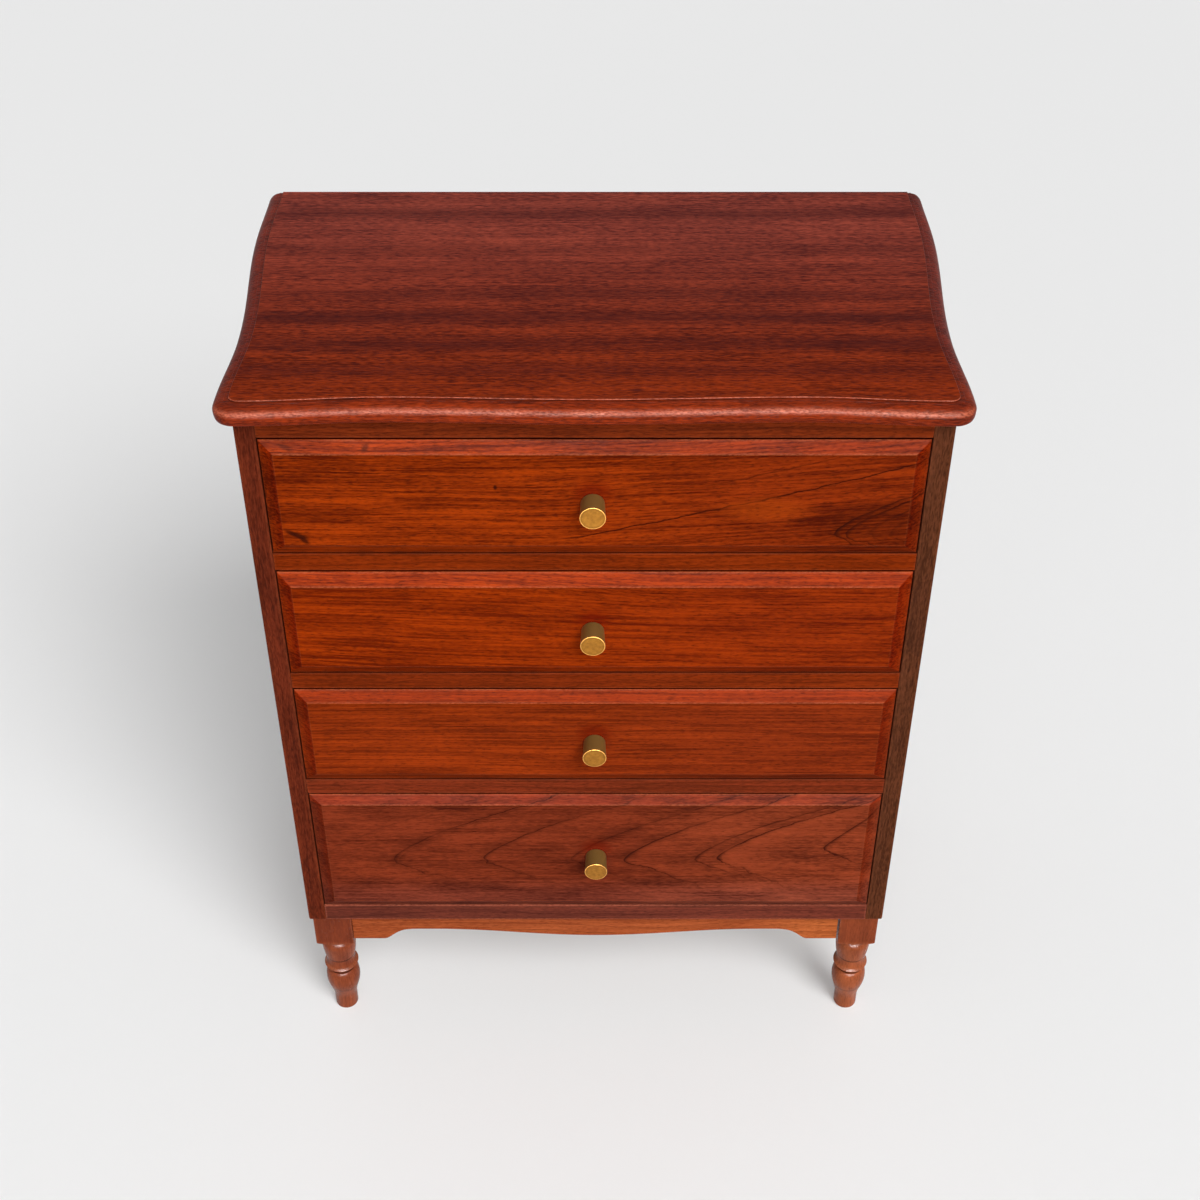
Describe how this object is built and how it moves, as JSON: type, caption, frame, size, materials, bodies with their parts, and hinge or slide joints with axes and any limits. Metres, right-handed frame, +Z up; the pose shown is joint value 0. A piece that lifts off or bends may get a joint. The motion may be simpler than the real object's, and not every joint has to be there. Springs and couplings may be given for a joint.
{
  "type": "tallboy",
  "caption": "Free-standing mahogany tallboy with a serpentine moulded top, sliding fielded drawers with brass knobs, a shaped apron and turned legs.",
  "frame": {"origin": "on the floor, under the middle of the whole object's box with its knobs and overhanging top", "axes": "+Z up, +Y towards the back, +X to the right of someone facing the drawers, which open along -Y"},
  "size_m": [0.7912, 0.4742, 1.0303],
  "materials": {
    "top_mahogany": "satin varnish over red-brown mahogany, grain along the width",
    "case_mahogany": "satin varnish over darker red-brown mahogany",
    "front_mahogany": "satin varnish over orange-red mahogany, grain along the width",
    "apron_mahogany": "satin varnish over lighter orange mahogany",
    "leg_mahogany": "turned mahogany, satin varnish with gloss on the beads",
    "drawer_timber": "bare planed secondary timber",
    "back_board": "bare plywood",
    "knob_brass": "turned brass, lightly tarnished",
    "screw_steel": "plain steel"
  },
  "bodies": {
    "carcass": {"top_slab": "top_mahogany", "left_side": "case_mahogany", "right_side": "case_mahogany", "back_panel": "back_board", "top_rail": "case_mahogany", "rear_top_rail": "case_mahogany", "drawer_rail_1": "case_mahogany", "drawer_rail_2": "case_mahogany", "drawer_rail_3": "case_mahogany", "base_rail": "case_mahogany", "rear_base_rail": "case_mahogany", "runner_1_left": "drawer_timber", "runner_1_right": "drawer_timber", "runner_2_left": "drawer_timber", "runner_2_right": "drawer_timber", "runner_3_left": "drawer_timber", "runner_3_right": "drawer_timber", "runner_4_left": "drawer_timber", "runner_4_right": "drawer_timber", "kicker_left": "drawer_timber", "kicker_right": "drawer_timber", "apron": "apron_mahogany", "front_left_leg": "leg_mahogany", "front_right_leg": "leg_mahogany", "rear_left_leg": "leg_mahogany", "rear_right_leg": "leg_mahogany", "front_left_leg_screw": "screw_steel", "front_right_leg_screw": "screw_steel", "rear_left_leg_screw": "screw_steel", "rear_right_leg_screw": "screw_steel"},
    "drawer_1": {"drawer_1_front": "front_mahogany", "drawer_1_left_side": "drawer_timber", "drawer_1_right_side": "drawer_timber", "drawer_1_back": "drawer_timber", "drawer_1_bottom": "back_board", "drawer_1_knob": "knob_brass", "drawer_1_knob_screw": "screw_steel"},
    "drawer_2": {"drawer_2_front": "front_mahogany", "drawer_2_left_side": "drawer_timber", "drawer_2_right_side": "drawer_timber", "drawer_2_back": "drawer_timber", "drawer_2_bottom": "back_board", "drawer_2_knob": "knob_brass", "drawer_2_knob_screw": "screw_steel"},
    "drawer_3": {"drawer_3_front": "front_mahogany", "drawer_3_left_side": "drawer_timber", "drawer_3_right_side": "drawer_timber", "drawer_3_back": "drawer_timber", "drawer_3_bottom": "back_board", "drawer_3_knob": "knob_brass", "drawer_3_knob_screw": "screw_steel"},
    "drawer_4": {"drawer_4_front": "front_mahogany", "drawer_4_left_side": "drawer_timber", "drawer_4_right_side": "drawer_timber", "drawer_4_back": "drawer_timber", "drawer_4_bottom": "back_board", "drawer_4_knob": "knob_brass", "drawer_4_knob_screw": "screw_steel"}
  },
  "joints": [
    {"name": "drawer_1_slide", "type": "slide", "parent": "carcass", "child": "drawer_1", "axis": [0, -1, 0], "range_m": [0, 0.3]},
    {"name": "drawer_2_slide", "type": "slide", "parent": "carcass", "child": "drawer_2", "axis": [0, -1, 0], "range_m": [0, 0.3]},
    {"name": "drawer_3_slide", "type": "slide", "parent": "carcass", "child": "drawer_3", "axis": [0, -1, 0], "range_m": [0, 0.3]},
    {"name": "drawer_4_slide", "type": "slide", "parent": "carcass", "child": "drawer_4", "axis": [0, -1, 0], "range_m": [0, 0.3]}
  ]
}
